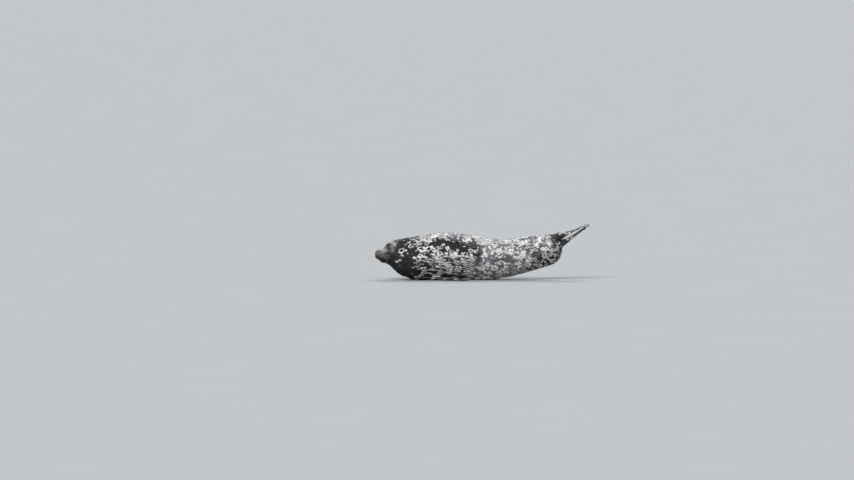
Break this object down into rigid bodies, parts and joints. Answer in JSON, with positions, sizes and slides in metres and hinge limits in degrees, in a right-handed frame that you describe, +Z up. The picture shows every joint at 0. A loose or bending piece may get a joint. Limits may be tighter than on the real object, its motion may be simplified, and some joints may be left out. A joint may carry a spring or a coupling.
{
  "type": "life-size harbor seal model",
  "caption": "Life-size still model of a spotted harbor seal resting on its side, head turned back upright, fore flipper on the flank and hind flippers lifted.",
  "frame": {"origin": "on the floor, under the middle of the animal's box", "axes": "+X from the nose towards the hind flippers, +Z up, the belly towards -Y and the back towards +Y"},
  "size_m": [1.7238, 0.3534, 0.4582],
  "materials": {
    "coat": "short flat fur, near black to purple grey with pale rings and blotches",
    "nose_skin": "bare, fine-grained, slightly moist",
    "eye_gloss": "wet, near black with a dark brown iris",
    "claw_horn": "dark horn, worn paler at the tips"
  },
  "bodies": {
    "root": {"belly": "coat", "chest": "coat", "claw_fore_left_1": "claw_horn", "claw_fore_left_2": "claw_horn", "claw_fore_left_3": "claw_horn", "claw_fore_left_4": "claw_horn", "claw_fore_left_5": "claw_horn", "claw_fore_right_1": "claw_horn", "claw_fore_right_2": "claw_horn", "claw_fore_right_3": "claw_horn", "claw_fore_right_4": "claw_horn", "claw_fore_right_5": "claw_horn", "claw_hind_left_1": "claw_horn", "claw_hind_left_2": "claw_horn", "claw_hind_left_3": "claw_horn", "claw_hind_left_4": "claw_horn", "claw_hind_left_5": "claw_horn", "claw_hind_right_1": "claw_horn", "claw_hind_right_2": "claw_horn", "claw_hind_right_3": "claw_horn", "claw_hind_right_4": "claw_horn", "claw_hind_right_5": "claw_horn", "eye_left": "eye_gloss", "eye_right": "eye_gloss", "fore_flipper_left": "coat", "fore_flipper_right": "coat", "head": "coat", "hind_flipper_left": "coat", "hind_flipper_right": "coat", "hips": "coat", "neck": "coat", "nose": "nose_skin", "tail": "coat"}
  },
  "joints": []
}
